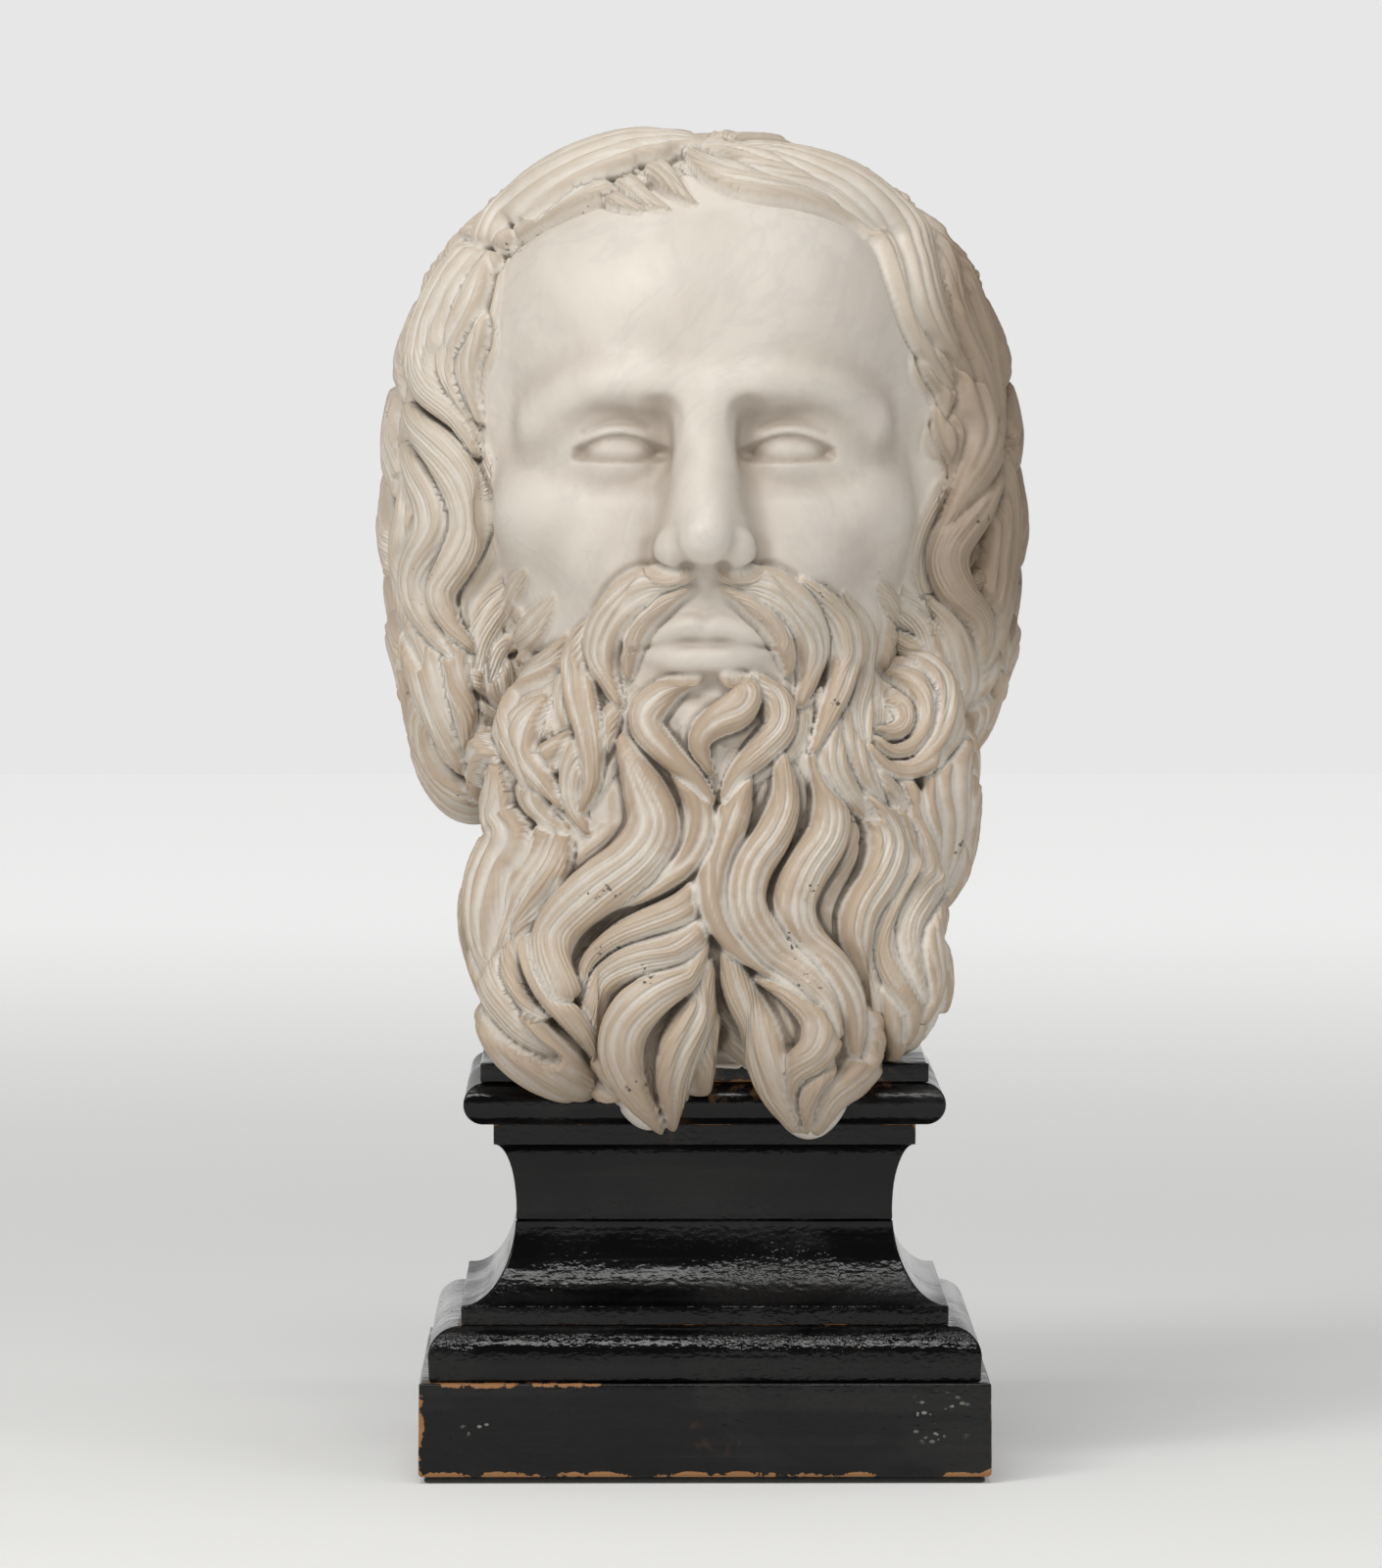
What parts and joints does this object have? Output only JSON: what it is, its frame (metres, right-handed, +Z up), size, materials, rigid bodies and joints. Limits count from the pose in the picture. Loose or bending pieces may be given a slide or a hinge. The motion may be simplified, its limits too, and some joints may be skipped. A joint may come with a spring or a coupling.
{
  "type": "portrait bust",
  "caption": "Carved marble head of a bearded man, pinned to a moulded, ebonised wooden socle with a felt base; a free-standing display bust.",
  "frame": {"origin": "centre of the felt sheet's underside, where the bust stands on a shelf", "axes": "+Z up, -Y the way the face looks, +X to the right for a person who faces the bust"},
  "size_m": [0.2954, 0.294, 0.6072],
  "materials": {
    "marble": "satin, with a beige patina in the hair and beard",
    "ebonised_wood": "black polish, worn to bare wood at the plinth's edges",
    "dowel_wood": "bare",
    "steel": "plain",
    "brass": "plain",
    "plaster": "matt",
    "felt": "matt"
  },
  "bodies": {
    "root": {"marble_head": "marble", "top_board": "ebonised_wood", "torus_board": "ebonised_wood", "upper_scotia": "ebonised_wood", "lower_scotia": "ebonised_wood", "ovolo_board": "ebonised_wood", "plinth_board": "ebonised_wood", "felt_sheet": "felt", "head_rod": "steel", "rod_setting": "plaster", "rod_washer": "steel", "rod_nut": "steel", "base_screw_1": "steel", "base_screw_2": "steel", "base_screw_3": "steel", "base_screw_4": "steel", "cap_screw_1": "brass", "cap_screw_2": "brass", "cap_screw_3": "brass", "cap_screw_4": "brass", "scotia_dowel_1": "dowel_wood", "scotia_dowel_2": "dowel_wood"}
  },
  "joints": []
}
